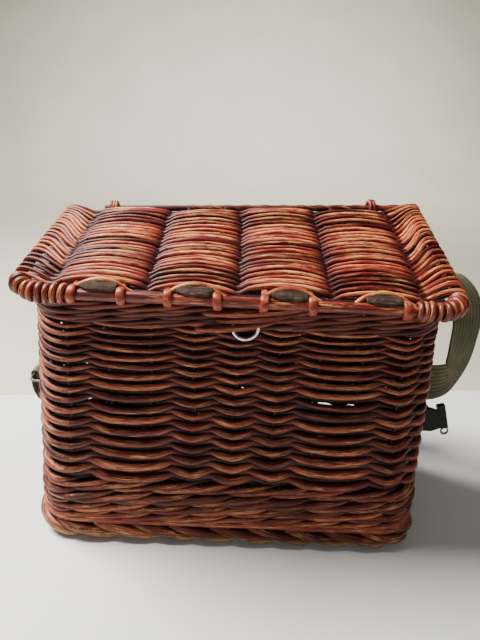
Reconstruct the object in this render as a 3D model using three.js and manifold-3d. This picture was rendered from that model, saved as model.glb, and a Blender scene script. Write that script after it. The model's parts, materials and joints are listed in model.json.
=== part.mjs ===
// A wicker fishing creel: a hollow woven basket with a hinged lid, a webbing strap and its fittings.
// Millimetres, +Z up. The front faces -Y. The origin is the middle of the base panel's underside.
import * as THREE from "three";
import { mergeVertices } from "three/addons/utils/BufferGeometryUtils.js";
import Module from "manifold-3d";

const wasm = await Module();
wasm.setup();

// Basket
const footWidth = 344;
const footDepth = 154;
const mouthWidth = 328;
const mouthDepth = 144;
const cornerRadius = 38;
const wallThickness = 9;
const walingHeight = 64;
const walingSwell = 2.5;
const baseThickness = 8;
const footBorderThickness = 14;
const footBorderOverhang = 4;
const rimBorderThickness = 10;

// Lid
const frontRodHeight = 232;
const backRodHeight = 277;
const hingeSkew = 8.8; // how much higher the hinge is at the basket's right end than in its middle
const lidOverhang = 14;
const lidFrontWidth = 340;
const lidBackWidth = 332;
const lidThickness = 8;
const segmentBulge = 5;
const segmentWidth = 68.3;
const segmentsEachSide = 2;
const frontCorner = 18;
const backCorner = 10;
const frontRodThickness = 7.5;
const frontRodLength = 300;
const backRodThickness = 7.5;
const backRodLength = 316;

// Trim of the lid
const stakeGap = 35; // between the two stakes of a pair, which share one segment
const wrapWidth = 6.5;
const wrapThickness = 2.2;
const missingWrap = 6; // counted from the left, from nought
const tongueLength = 26;
const tongueWidth = 9;
const tongueThickness = 3;
const tonguesBeforeWraps = [1, 3, 5, 7];

// Hinge ties
const tieFromCorner = 6.5; // from where the mouth's back corner starts to the tie's middle
const tieWidth = 9;
const tieThickness = 2.4;

// Front ring
const frontRingDiameter = 22;
const frontRingWire = 2.2;
const frontRingDrop = 14.6; // from the rim border's underside to the ring's middle
const frontRingAside = 5; // to the right of the middle
const stapleWire = 1.8;

// Strap, its slot on the right side and its wire ring on the left side
const strapWidth = 38;
const strapThickness = 2.4;
const slotHeight = 128;
const slotBack = 8;
const strapRingHeight = 115;
const strapRingWire = 2.6;
const strapRingReach = 32;
const strapRingWidth = 44; // between the middles of its side wires
const strapRingCorner = 2.6;
const strapRingBack = 20;
const strapFoldLength = 26;

// Buckle
const buckleHeight = 108;
const buckleForward = 16;
const buckleTabWidth = 16;
const buckleTabLength = 14;
const buckleGap = 1.2; // from the wall to the plate
const bucklePlateWidth = 22;
const bucklePlateHeight = 23;
const bucklePlateDrop = 4; // below the bar's middle
const bucklePlateThickness = 5;
const buckleBarLength = 25;
const buckleBarThickness = 7;
const buckleBarTilt = 18; // degrees from upright
const buckleRingDiameter = 8;
const buckleRingWire = 1.6;

const clearance = 0.3;
const cornerSteps = 5;
const rodSides = 12;

// Places that follow from the sizes
const frontRodY = -mouthDepth / 2 - lidOverhang;
const hingeY = mouthDepth / 2 - wallThickness / 2;
const lidSlope = Math.atan2(backRodHeight - frontRodHeight, hingeY - frontRodY);
const skewAngle = Math.atan2(hingeSkew, mouthWidth / 2);
const rimDrop = (lidThickness / 2 + rimBorderThickness / 2 + clearance) / Math.cos(lidSlope);

// Height of the lid's middle surface, which runs straight from the front rod to the skewed hinge
function lidHeight(x, y) {
  const share = (y - frontRodY) / (hingeY - frontRodY);
  const hinge = backRodHeight + (hingeSkew * x) / (mouthWidth / 2);
  return frontRodHeight + (hinge - frontRodHeight) * share;
}

function rimHeight(x, y) {
  return lidHeight(x, y) - rimDrop;
}

const material = (color, roughness, metalness = 0) =>
  new THREE.MeshStandardMaterial({ color, roughness, metalness });
const wicker = () => material(0x8a3f2c, 0.55);
const palePith = () => material(0xa8683f, 0.6);
const cutWood = () => material(0x4c3b35, 0.8);
const whiteMetal = () => material(0xd6d8d8, 0.3, 1);
const darkWire = () => material(0x3a342e, 0.5, 0.9);
const oliveWebbing = () => material(0x75735f, 0.9);
const blackLacquer = () => material(0x17171a, 0.4);

// Geometry helpers

function geometryFrom(vertices, triangles) {
  const geometry = new THREE.BufferGeometry();
  geometry.setAttribute("position", new THREE.Float32BufferAttribute(vertices.flat(), 3));
  geometry.setIndex(triangles.flat());
  geometry.computeVertexNormals();
  return geometry;
}

// A closed body through rings of points that all have the same count. A closed run joins the
// last ring to the first; an open run gets flat ends.
function loft(rings, closedRun) {
  const count = rings[0].length;
  const vertices = rings.flat().map((p) => [p.x, p.y, p.z]);
  const triangles = [];
  const spans = closedRun ? rings.length : rings.length - 1;
  for (let i = 0; i < spans; i++) {
    const next = (i + 1) % rings.length;
    for (let j = 0; j < count; j++) {
      const k = (j + 1) % count;
      const a = i * count + j;
      const b = i * count + k;
      const c = next * count + k;
      const d = next * count + j;
      triangles.push([a, b, c], [a, c, d]);
    }
  }
  if (!closedRun) {
    for (const [ring, flip] of [
      [0, true],
      [rings.length - 1, false],
    ]) {
      const middle = vertices.length;
      const centre = rings[ring]
        .reduce((sum, p) => sum.add(p), new THREE.Vector3())
        .divideScalar(count);
      vertices.push(centre.toArray());
      for (let j = 0; j < count; j++) {
        const a = ring * count + j;
        const b = ring * count + ((j + 1) % count);
        triangles.push(flip ? [b, a, middle] : [a, b, middle]);
      }
    }
  }
  return facingOut(geometryFrom(vertices, triangles));
}

// Turns the faces round when the body's signed volume says that they point inwards
function facingOut(geometry) {
  const position = geometry.getAttribute("position");
  const index = geometry.index.array;
  const corner = (i) => new THREE.Vector3().fromBufferAttribute(position, index[i]);
  let volume = 0;
  for (let i = 0; i < index.length; i += 3) {
    volume += corner(i).dot(corner(i + 1).cross(corner(i + 2)));
  }
  if (volume < 0) {
    for (let i = 0; i < index.length; i += 3) {
      [index[i + 1], index[i + 2]] = [index[i + 2], index[i + 1]];
    }
    geometry.computeVertexNormals();
  }
  return geometry;
}

// Points round a rounded rectangle in plan, each with its outward direction
function roundedLoop(halfWidth, halfDepth, radius) {
  const points = [];
  const corners = [
    [halfWidth - radius, -halfDepth + radius, -90],
    [halfWidth - radius, halfDepth - radius, 0],
    [-halfWidth + radius, halfDepth - radius, 90],
    [-halfWidth + radius, -halfDepth + radius, 180],
  ];
  const sideSteps = [2, 6, 2, 6];
  corners.forEach(([x, y, start], n) => {
    for (let i = 0; i <= cornerSteps; i++) {
      const angle = THREE.MathUtils.degToRad(start + (90 * i) / cornerSteps);
      const out = new THREE.Vector2(Math.cos(angle), Math.sin(angle));
      points.push({ x: x + radius * out.x, y: y + radius * out.y, out });
    }
    const [nextX, nextY] = corners[(n + 1) % 4];
    const last = points[points.length - 1];
    const end = { x: nextX + radius * last.out.x, y: nextY + radius * last.out.y };
    for (let i = 1; i < sideSteps[n]; i++) {
      const share = i / sideSteps[n];
      points.push({
        x: last.x + (end.x - last.x) * share,
        y: last.y + (end.y - last.y) * share,
        out: last.out,
      });
    }
  });
  return points;
}

// A round wire or rod along a closed path of points in one plane whose normal is given
function closedTube(path, radius, planeNormal, sides) {
  const rings = path.map((point, i) => {
    const before = path[(i + path.length - 1) % path.length];
    const after = path[(i + 1) % path.length];
    const along = after.clone().sub(before).normalize();
    const side = along.clone().cross(planeNormal).normalize();
    const up = side.clone().cross(along).normalize();
    return Array.from({ length: sides }, (_, j) => {
      const angle = (2 * Math.PI * (j + 0.5)) / sides;
      return point
        .clone()
        .addScaledVector(side, radius * Math.cos(angle))
        .addScaledVector(up, radius * Math.sin(angle));
    });
  });
  return loft(rings, true);
}

// The outline round two circles on one axis, as a belt goes round two pulleys
function belt(shape, lowRadius, highRadius, distance) {
  const lean = Math.asin((lowRadius - highRadius) / distance);
  shape.absarc(0, 0, lowRadius, Math.PI - lean, 2 * Math.PI + lean, false);
  shape.absarc(0, distance, highRadius, lean, Math.PI - lean, false);
  return shape;
}

function rod(length, thickness, sides = rodSides) {
  const geometry = new THREE.CylinderGeometry(thickness / 2, thickness / 2, length, sides);
  geometry.rotateZ(Math.PI / 2);
  return geometry;
}

// A band round a rod that lies along X
function band(innerRadius, outerRadius, width) {
  const profile = [
    [innerRadius, -width / 2],
    [outerRadius, -width / 2],
    [outerRadius, width / 2],
    [innerRadius, width / 2],
    [innerRadius, -width / 2],
  ].map(([r, y]) => new THREE.Vector2(r, y));
  const geometry = new THREE.LatheGeometry(profile, rodSides);
  geometry.rotateZ(Math.PI / 2);
  return geometry;
}

function solidOf(geometry) {
  const bare = geometry.clone();
  bare.deleteAttribute("normal");
  bare.deleteAttribute("uv");
  const merged = mergeVertices(bare);
  return new wasm.Manifold(
    new wasm.Mesh({
      numProp: 3,
      vertProperties: merged.getAttribute("position").array,
      triVerts: new Uint32Array(merged.index.array),
    }),
  );
}

function cutAway(geometry, cutters) {
  const result = cutters.reduce((left, cutter) => left.subtract(solidOf(cutter)), solidOf(geometry));
  const mesh = result.getMesh();
  const cut = new THREE.BufferGeometry();
  cut.setAttribute("position", new THREE.BufferAttribute(mesh.vertProperties, 3));
  cut.setIndex(new THREE.BufferAttribute(mesh.triVerts, 1));
  cut.computeVertexNormals();
  return cut;
}

const creel = new THREE.Group();

function add(name, geometry, surface, parent = creel) {
  const mesh = new THREE.Mesh(geometry, surface);
  mesh.name = name;
  parent.add(mesh);
  return mesh;
}

// Outer half width and half depth of the wall at a height, with the swell of the waling at the foot
function wallSize(z) {
  const share = Math.min(1, z / rimHeight(0, 0));
  const swell = z < walingHeight ? walingSwell : 0;
  return {
    halfWidth: footWidth / 2 + ((mouthWidth - footWidth) / 2) * share + swell,
    halfDepth: footDepth / 2 + ((mouthDepth - footDepth) / 2) * share + swell,
  };
}

// Wall, with the ring's, the slot's and the ties' openings cut through it
const walingTaper = 10;
const wallFoot = footBorderThickness + clearance;
const wallTopGap = rimBorderThickness / 2 + clearance;

function wallRing(level, inset, share) {
  const middle = rimHeight(0, 0) - wallTopGap;
  const z = wallFoot + (middle - wallFoot) * level;
  const size = wallSize(z);
  const radius = cornerRadius - inset;
  return roundedLoop(size.halfWidth - inset, size.halfDepth - inset, radius).map((p) => {
    const top = rimHeight(p.x, p.y) - wallTopGap;
    return new THREE.Vector3(p.x, p.y, share ? wallFoot + (top - wallFoot) * share : z);
  });
}

function wallGeometry() {
  const middle = rimHeight(0, 0) - wallTopGap;
  const levelOf = (z) => (z - wallFoot) / (middle - wallFoot);
  const walingTop = levelOf(walingHeight);
  const taperTop = levelOf(walingHeight + walingTaper);
  const levels = [0, walingTop - 0.001, taperTop, 0.55, 0.8, 1];
  const outer = levels.map((level) => wallRing(level, 0, level));
  const inner = levels.map((level) => wallRing(level, wallThickness + swellAt(level, middle), level));
  return loft([...outer, ...inner.reverse()], true);
}

function swellAt(level, middle) {
  return wallFoot + (middle - wallFoot) * level < walingHeight ? walingSwell : 0;
}

// Left wire ring: a rounded rectangle that passes through the side wall
const ringSeat = wallSize(strapRingHeight).halfWidth - wallThickness / 2;
const ringBarX = -ringSeat - strapRingReach;

function ringPath() {
  const halfReach = strapRingReach / 2;
  return roundedLoop(halfReach, strapRingWidth / 2, strapRingCorner).map(
    (p) => new THREE.Vector3(p.x - ringSeat - halfReach, p.y + strapRingBack, strapRingHeight),
  );
}

const up = new THREE.Vector3(0, 0, 1);
const ringTube = (extra) => closedTube(ringPath(), strapRingWire / 2 + extra, up, 8);

// Staple that holds the front ring: a wire bent to a U whose legs go into the wall
const frontRimUnderside = rimHeight(0, -hingeY) - rimBorderThickness / 2;
const frontRingHeight = frontRimUnderside - frontRingDrop;
const ringFace = wallSize(frontRingHeight).halfDepth;
const frontRingY = -ringFace - clearance - frontRingWire / 2;
const stapleZ = frontRingHeight + (frontRingDiameter - frontRingWire) / 2;

function staple(extra, legs) {
  const bend = frontRingWire / 2 + stapleWire / 2 + clearance;
  const curve = new THREE.CurvePath();
  const point = (y, z) => new THREE.Vector3(frontRingAside, y, z);
  const low = stapleZ - bend;
  const high = stapleZ + bend;
  const nose = frontRingY - (bend * 4) / 3; // the curve's handles, so that its middle reaches bend
  curve.add(new THREE.LineCurve3(point(-ringFace + legs, low), point(frontRingY, low)));
  curve.add(
    new THREE.CubicBezierCurve3(
      point(frontRingY, low),
      point(nose, low),
      point(nose, high),
      point(frontRingY, high),
    ),
  );
  curve.add(new THREE.LineCurve3(point(frontRingY, high), point(-ringFace + legs, high)));
  const size = stapleWire / 2 + extra;
  const section = new THREE.Shape().absarc(0, 0, size, 0, 2 * Math.PI, false);
  return new THREE.ExtrudeGeometry(section, {
    steps: 14,
    curveSegments: 3,
    bevelEnabled: false,
    extrudePath: curve,
  });
}

// Hinge ties: belts round the lid's back rod and the rim border, square to the skewed hinge
const tieDistance = rimDrop * Math.cos(skewAngle);
const tieX = mouthWidth / 2 - cornerRadius - tieFromCorner;

function tie(sign, extra, width) {
  const low = rimBorderThickness / 2 + clearance;
  const high = backRodThickness / 2 + clearance;
  const around = tieThickness + extra;
  const shape = belt(new THREE.Shape(), low + around, high + around, tieDistance);
  if (!extra) {
    shape.holes.push(belt(new THREE.Path(), low, high, tieDistance));
  }
  const geometry = new THREE.ExtrudeGeometry(shape, {
    depth: width,
    curveSegments: 8,
    bevelEnabled: false,
  });
  const x = sign * tieX;
  geometry.translate(0, -tieDistance, -width / 2);
  geometry.rotateY(Math.PI / 2);
  geometry.rotateX(Math.PI / 2);
  geometry.rotateY(-skewAngle);
  geometry.translate(x, hingeY, lidHeight(x, hingeY));
  return geometry;
}

// Strap route, from its end inside the right wall, up beside the lid, down behind the basket and
// across to the left ring. Each row gives the place as shares of the half width, the half depth
// and the slot's height, and the direction of the webbing's width.
const strapRoute = [
  { side: 0.901, back: 0.104, height: 1, across: [0, 0, 1] },
  { side: 0.983, back: 0.104, height: 1, across: [0, 0, 1] },
  { side: 1.07, back: 0.104, height: 1, across: [0, 0, 1] },
  { side: 1.151, back: 0.13, height: 1, across: [-0.03, -0.05, 1] },
  { side: 1.221, back: 0.195, height: 1.016, across: [-0.15, -0.15, 1] },
  { side: 1.265, back: 0.26, height: 1.078, across: [-0.5, -0.35, 0.75] },
  { side: 1.285, back: 0.286, height: 1.18, across: [-0.8, -0.45, 0.35] },
  { side: 1.291, back: 0.299, height: 1.312, across: [-0.88, -0.45, 0.08] },
  { side: 1.291, back: 0.312, height: 1.461, across: [-0.9, -0.42, 0] },
  { side: 1.273, back: 0.364, height: 1.602, across: [-0.9, -0.4, 0] },
  { side: 1.233, back: 0.468, height: 1.703, across: [-0.93, -0.35, 0] },
  { side: 1.18, back: 0.636, height: 1.758, across: [-0.98, -0.18, 0] },
  { side: 1.145, back: 0.805, height: 1.727, across: [-1, 0, 0] },
  { side: 1.122, back: 0.974, height: 1.602, across: [-1, 0, 0] },
  { side: 1.087, back: 1.104, height: 1.406, across: [-0.97, 0.25, 0] },
  { side: 1.029, back: 1.234, height: 1.164, across: [-0.75, 0.65, 0] },
  { side: 0.93, back: 1.312, height: 0.898, across: [-0.35, 0.93, 0] },
  { side: 0.77, back: 1.34, height: 0.623, across: [-0.05, 1, 0] },
  { side: 0.53, back: 1.34, height: 0.408, across: [0, 1, 0] },
  { side: 0.27, back: 1.34, height: 0.283, across: [0, 1, 0] },
  { side: 0, back: 1.34, height: 0.244, across: [0, 1, 0] },
  { side: -0.27, back: 1.34, height: 0.266, across: [0, 1, 0] },
  { side: -0.53, back: 1.34, height: 0.351, across: [0, 1, 0] },
  { side: -0.77, back: 1.33, height: 0.453, across: [0.05, 1, 0] },
  { side: -0.95, back: 1.22, height: 0.498, across: [0.2, 0.95, 0.1] },
  { side: -1.08, back: 0.97, height: 0.532, across: [0.25, 0.95, 0.15] },
  { side: -1.14, back: 0.66, height: 0.589, across: [0.1, 1, 0.1] },
  { side: -1.16, back: 0.42, height: 0.68, across: [0.03, 1, 0] },
];

// The strap's last stretch goes up, over the ring's outer bar and down again as a sewn fold
function strapFold() {
  const turn = strapRingWire / 2 + clearance + strapThickness / 2;
  const steps = 6;
  const lead = { x: ringBarX - turn, z: strapRingHeight - strapRingWidth / 4 };
  const rows = [lead];
  for (let i = 0; i <= steps; i++) {
    const angle = Math.PI - (Math.PI * i) / steps;
    rows.push({ x: ringBarX + turn * Math.cos(angle), z: strapRingHeight + turn * Math.sin(angle) });
  }
  rows.push({ x: ringBarX + turn, z: strapRingHeight - strapFoldLength });
  return rows.map(({ x, z }) => ({
    at: new THREE.Vector3(x, strapRingBack, z),
    across: new THREE.Vector3(0, 1, 0),
  }));
}

function strapGeometry() {
  const route = strapRoute.map(({ side, back, height, across }) => ({
    at: new THREE.Vector3((side * footWidth) / 2, (back * footDepth) / 2, height * slotHeight),
    across: new THREE.Vector3(...across).normalize(),
  }));
  route.slice(0, 3).forEach((row) => {
    row.at.y = slotBack;
  });
  const rows = [...route, ...strapFold()];
  const rings = rows.map(({ at, across }, i) => {
    const before = rows[Math.max(0, i - 1)].at;
    const after = rows[Math.min(rows.length - 1, i + 1)].at;
    const along = after.clone().sub(before).normalize();
    const level = across.clone().addScaledVector(along, -across.dot(along)).normalize();
    const face = level.clone().cross(along).normalize();
    const corner = (w, t) =>
      at
        .clone()
        .addScaledVector(level, (w * strapWidth) / 2)
        .addScaledVector(face, (t * strapThickness) / 2);
    return [corner(-1, -1), corner(1, -1), corner(1, 1), corner(-1, 1)];
  });
  return loft(rings, false);
}

function slotCutter() {
  const size = wallSize(slotHeight);
  const box = new THREE.BoxGeometry(
    wallThickness * 4,
    strapThickness + 2 * clearance,
    strapWidth + 2 * clearance,
  );
  box.translate(size.halfWidth - wallThickness / 2, slotBack, slotHeight);
  return box;
}

add(
  "wall",
  cutAway(wallGeometry(), [
    ringTube(clearance),
    slotCutter(),
    staple(clearance, wallThickness),
    tie(-1, clearance, tieWidth + 2 * clearance),
    tie(1, clearance, tieWidth + 2 * clearance),
  ]),
  wicker(),
);

// Base panel and foot border: both rest on the ground
const borderApothem = footBorderThickness / 2;
const borderReach = footBorderOverhang - borderApothem;

function footBorderGeometry() {
  const path = roundedLoop(
    footWidth / 2 + borderReach,
    footDepth / 2 + borderReach,
    cornerRadius + borderReach,
  ).map((p) => new THREE.Vector3(p.x, p.y, borderApothem));
  return closedTube(path, borderApothem / Math.cos(Math.PI / 8), up, 8);
}

add("foot_border", footBorderGeometry(), wicker());

function basePanelGeometry() {
  const inset = 2 * borderApothem - footBorderOverhang + clearance;
  const outline = roundedLoop(footWidth / 2 - inset, footDepth / 2 - inset, cornerRadius - inset);
  const shape = new THREE.Shape(outline.map((p) => new THREE.Vector2(p.x, p.y)));
  return new THREE.ExtrudeGeometry(shape, { depth: baseThickness, bevelEnabled: false });
}

add("base_panel", basePanelGeometry(), wicker());

// Rim border: a rod-like border on top of the wall that follows the sloping mouth
function rimBorderGeometry() {
  const inset = wallThickness / 2;
  const path = roundedLoop(
    mouthWidth / 2 - inset,
    mouthDepth / 2 - inset,
    cornerRadius - inset,
  ).map((p) => new THREE.Vector3(p.x, p.y, rimHeight(p.x, p.y)));
  return closedTube(path, rimBorderThickness / 2, up, 8);
}

add("rim_border", rimBorderGeometry(), wicker());

// Lid
const lid = new THREE.Group();
creel.add(lid);

const wrapOuter = frontRodThickness / 2 + clearance + wrapThickness;
const panelFrontY = frontRodY + wrapOuter + clearance;
const panelBackY = hingeY - backRodThickness / 2 - clearance;

// How far the lid's rounded corner holds an edge back at x
function cornerSetback(x, halfWidth, radius) {
  const into = Math.max(0, Math.abs(x) - (halfWidth - radius));
  return radius - Math.sqrt(Math.max(0, radius * radius - into * into));
}

function segmentRise(x) {
  const outer = segmentWidth * segmentsEachSide;
  const share = Math.abs(x) > outer ? (Math.abs(x) - outer) / segmentWidth : x / segmentWidth;
  return segmentBulge * Math.abs(Math.sin(Math.PI * share));
}

function lidSection(share) {
  const rows = 5;
  const half = lidThickness / 2;
  const round = half * 0.6;
  const frontHalf = lidFrontWidth / 2;
  const backHalf = lidBackWidth / 2;
  const edge = Math.min(0.985, Math.abs(share)) * Math.sign(share);
  const front = panelFrontY + cornerSetback(edge * frontHalf, frontHalf, frontCorner);
  const back = panelBackY - cornerSetback(edge * backHalf, backHalf, backCorner);
  const at = (y, offset) => {
    const across = (y - panelFrontY) / (panelBackY - panelFrontY);
    const x = share * (frontHalf + (backHalf - frontHalf) * across);
    return new THREE.Vector3(x, y, lidHeight(x, y) + offset);
  };
  const rise = segmentRise(share * frontHalf);
  const points = [at(front, -half + round), at(front + round, -half)];
  points.push(at(back - round, -half), at(back, -half + round), at(back, half - round));
  for (let i = 0; i <= rows; i++) {
    const y = back - round + (front + 2 * round - back) * (i / rows);
    const arch = Math.sin((Math.PI * (i + 0.6)) / (rows + 1.2));
    points.push(at(y, half + rise * arch));
  }
  points.push(at(front, half - round));
  return points;
}

function lidPanelGeometry() {
  const perSegment = 5;
  const frontHalf = lidFrontWidth / 2;
  const shares = [];
  for (let i = -segmentsEachSide * perSegment; i <= segmentsEachSide * perSegment; i++) {
    shares.push((i * segmentWidth) / perSegment / frontHalf);
  }
  const ends = [0.86, 0.92, 0.96, 0.985, 1];
  const all = [...ends.map((s) => -s).reverse(), ...shares, ...ends];
  return loft(all.map(lidSection), false);
}

add(
  "lid_panel",
  cutAway(lidPanelGeometry(), [
    tie(-1, 2 * clearance, tieWidth + 4 * clearance),
    tie(1, 2 * clearance, tieWidth + 4 * clearance),
  ]),
  wicker(),
  lid,
);

const frontRod = add("lid_front_rod", rod(frontRodLength, frontRodThickness), palePith(), lid);
frontRod.position.set(0, frontRodY, frontRodHeight);

const backRod = add("lid_back_rod", rod(backRodLength, backRodThickness), wicker(), lid);
backRod.position.set(0, hingeY, backRodHeight);
backRod.rotation.y = -skewAngle;

// Wraps round the front rod, one for each lid stake, except the one that has come off
const wrapPlaces = [];
for (let pair = -1.5; pair <= 1.5; pair++) {
  wrapPlaces.push(pair * segmentWidth - stakeGap / 2, pair * segmentWidth + stakeGap / 2);
}

wrapPlaces.forEach((x, i) => {
  if (i === missingWrap) {
    return;
  }
  const ring = band(frontRodThickness / 2 + clearance, wrapOuter, wrapWidth);
  const wrap = add(`lid_wrap_${i < missingWrap ? i + 1 : i}`, ring, palePith(), lid);
  wrap.position.set(x, frontRodY, frontRodHeight);
});

// Tongues: cut stake ends that lie on the front rod, each up against the wrap on its right
tonguesBeforeWraps.forEach((wrapIndex, i) => {
  const box = new THREE.BoxGeometry(tongueLength, tongueWidth, tongueThickness);
  const tongue = add(`lid_tongue_${i + 1}`, box, cutWood(), lid);
  const lift = frontRodThickness / 2 + 2 * clearance + tongueThickness / 2;
  const along = tongueWidth / 6;
  tongue.rotation.x = lidSlope;
  tongue.position.set(
    wrapPlaces[wrapIndex] - wrapWidth / 2 - clearance - tongueLength / 2,
    frontRodY + along * Math.cos(lidSlope) - lift * Math.sin(lidSlope),
    frontRodHeight + along * Math.sin(lidSlope) + lift * Math.cos(lidSlope),
  );
});

add("hinge_tie_left", tie(-1, 0, tieWidth), wicker());
add("hinge_tie_right", tie(1, 0, tieWidth), wicker());

// Front ring and its staple
const ringRadius = (frontRingDiameter - frontRingWire) / 2;
const frontRing = add(
  "front_ring",
  new THREE.TorusGeometry(ringRadius, frontRingWire / 2, 6, 24),
  whiteMetal(),
);
frontRing.rotation.x = Math.PI / 2;
frontRing.position.set(frontRingAside, frontRingY, frontRingHeight);
add("ring_staple", staple(0, wallThickness / 2), darkWire());

// Strap and its left ring
add("strap", strapGeometry(), oliveWebbing());
add("strap_ring", ringTube(0), darkWire());

// Buckle: a short tab on the right side carries a plate, a tilted bar and a small wire ring
const buckle = new THREE.Group();
buckle.position.set(wallSize(buckleHeight).halfWidth + clearance, -buckleForward, buckleHeight);
creel.add(buckle);

const tab = add(
  "buckle_tab",
  new THREE.BoxGeometry(buckleTabLength, strapThickness, buckleTabWidth),
  oliveWebbing(),
  buckle,
);
tab.position.x = buckleTabLength / 2;

// The plate's right edge lies along the bar: each z is a share of the plate's height
const tilt = THREE.MathUtils.degToRad(buckleBarTilt);
const besideBar = (z) =>
  0.5 - ((z * bucklePlateHeight - bucklePlateDrop) * Math.tan(tilt)) / bucklePlateWidth;
const plateOutline = new THREE.Shape(
  [
    [-0.5, -0.22],
    [-0.38, -0.42],
    [-0.15, -0.5],
    [0.3, -0.5],
    [besideBar(-0.34), -0.34],
    [besideBar(0.42), 0.42],
    [0.15, 0.5],
    [-0.2, 0.5],
    [-0.4, 0.36],
    [-0.5, 0.12],
  ].map(([x, z]) => new THREE.Vector2(x * bucklePlateWidth, z * bucklePlateHeight)),
);
const plateGeometry = new THREE.ExtrudeGeometry(plateOutline, {
  depth: bucklePlateThickness,
  bevelEnabled: false,
});
const plate = add("buckle_plate", plateGeometry, blackLacquer(), buckle);
plate.rotation.x = Math.PI / 2;
plate.position.set(
  buckleGap + bucklePlateWidth / 2,
  -strapThickness / 2 - clearance,
  -bucklePlateDrop,
);

const bar = add(
  "buckle_bar",
  new THREE.BoxGeometry(buckleBarThickness, bucklePlateThickness, buckleBarLength),
  blackLacquer(),
  buckle,
);
const barX =
  buckleGap + bucklePlateWidth + (clearance + buckleBarThickness / 2) / Math.cos(tilt);
bar.rotation.y = -tilt;
bar.position.set(barX, -strapThickness / 2 - clearance - bucklePlateThickness / 2, 0);

const buckleRing = add(
  "buckle_ring",
  new THREE.TorusGeometry((buckleRingDiameter - buckleRingWire) / 2, buckleRingWire / 2, 6, 16),
  darkWire(),
  buckle,
);
const barFoot = buckleBarLength / 2 + clearance + buckleRingDiameter / 2;
buckleRing.rotation.x = Math.PI / 2;
buckleRing.position.set(
  barX + barFoot * Math.sin(tilt),
  bar.position.y,
  -barFoot * Math.cos(tilt),
);

export default creel;
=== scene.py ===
import json
import math

import bmesh
import bpy
import numpy as np
from mathutils import Matrix, Vector


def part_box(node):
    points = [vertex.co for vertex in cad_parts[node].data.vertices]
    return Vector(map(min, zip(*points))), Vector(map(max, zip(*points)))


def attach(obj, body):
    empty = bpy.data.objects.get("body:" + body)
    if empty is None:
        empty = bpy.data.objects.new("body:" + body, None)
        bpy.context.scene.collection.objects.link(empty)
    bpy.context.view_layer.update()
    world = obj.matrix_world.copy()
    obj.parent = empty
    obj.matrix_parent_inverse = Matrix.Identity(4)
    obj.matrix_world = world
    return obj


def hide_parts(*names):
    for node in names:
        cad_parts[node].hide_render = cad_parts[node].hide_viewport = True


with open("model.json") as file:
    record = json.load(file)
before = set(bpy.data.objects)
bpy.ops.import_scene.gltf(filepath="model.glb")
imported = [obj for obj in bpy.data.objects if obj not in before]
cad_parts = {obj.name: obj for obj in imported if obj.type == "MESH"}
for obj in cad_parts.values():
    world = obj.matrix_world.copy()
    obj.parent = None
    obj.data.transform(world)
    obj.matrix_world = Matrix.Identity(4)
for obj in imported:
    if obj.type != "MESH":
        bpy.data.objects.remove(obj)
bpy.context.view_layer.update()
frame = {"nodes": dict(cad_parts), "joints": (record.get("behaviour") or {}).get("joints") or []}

chance = np.random.default_rng(12)
mm = 0.001

# Places that the frame gives


def middle(node):
    low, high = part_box(node)
    return (np.array(low) + np.array(high)) / 2


def half_size(node):
    low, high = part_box(node)
    return (np.array(high) - np.array(low)) / 2


hinge = frame["joints"][0]
_, hinge_y, hinge_z = hinge["pos_m"]
hinge_lean = hinge["axis"][2] / hinge["axis"][0]
_, front_rod_y, front_rod_z = middle("lid_front_rod")
front_rod_radius = half_size("lid_front_rod")[1]
back_rod_radius = half_size("lid_back_rod")[1]
lid_slope = math.atan2(hinge_z - front_rod_z, hinge_y - front_rod_y)

LID_THICKNESS = 8 * mm
RIM_RADIUS = 5 * mm
CLEARANCE = 0.3 * mm
FOOT_OVERHANG = 4 * mm
CORNER_RADIUS = 38 * mm
UP = np.array([0, 0, 1.0])
rim_drop = (LID_THICKNESS / 2 + RIM_RADIUS + CLEARANCE) / math.cos(lid_slope)
mouth_half = half_size("rim_border")[:2]
foot_half = half_size("foot_border")[:2] - FOOT_OVERHANG


def lid_height(x, y):
    """The height of the lid's middle surface, level at the front rod and leaning at the hinge."""
    share = (y - front_rod_y) / (hinge_y - front_rod_y)
    return front_rod_z + (hinge_z + hinge_lean * x - front_rod_z) * share


def rim_height(x, y):
    return lid_height(x, y) - rim_drop


rim_middle = rim_height(0, 0)

# Stakes of the basket, counted from the left end of the front; a letter says which rows pass
# outside a stake. Two like letters side by side make the long strokes of the front.
STAKE_ROWS = "BAABABAAB" + "AB" * 9
STAKES = len(STAKE_ROWS)
FRONT_MIDDLE = 4
STAKE_RADIUS = 2.1 * mm
STAKE_FOOT = 8 * mm
STAKE_INSET = 5.4 * mm
WEAVE_SWING = 3.1 * mm  # how far a rod moves out and in from the stakes' line
WALE_TOP = 62.5 * mm


def plan(t, half):
    """Places and outward directions round a rounded rectangle; t counts stakes to the right."""
    straight = foot_half - CORNER_RADIUS
    quarter_turn = CORNER_RADIUS * math.pi / 2
    quarter = straight[0] + quarter_turn + straight[1]
    run = np.mod((t - FRONT_MIDDLE) / STAKES, 1) * 4 * quarter
    left = run > 2 * quarter
    run = np.where(left, 4 * quarter - run, run)
    back = run > quarter
    run = np.where(back, 2 * quarter - run, run)
    angle = np.clip((run - straight[0]) / quarter_turn, 0, 1) * math.pi / 2
    along = np.clip(run / straight[0], 0, 1)
    aside = np.clip((run - straight[0] - quarter_turn) / straight[1], 0, 1)
    x = (half[0] - CORNER_RADIUS) * along + CORNER_RADIUS * np.sin(angle)
    y = -(half[1] - CORNER_RADIUS) * (1 - aside) - CORNER_RADIUS * np.cos(angle)
    side = np.where(left, -1, 1)
    face = np.where(back, -1, 1)
    return x * side, y * face, np.sin(angle) * side, -np.cos(angle) * face


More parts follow.
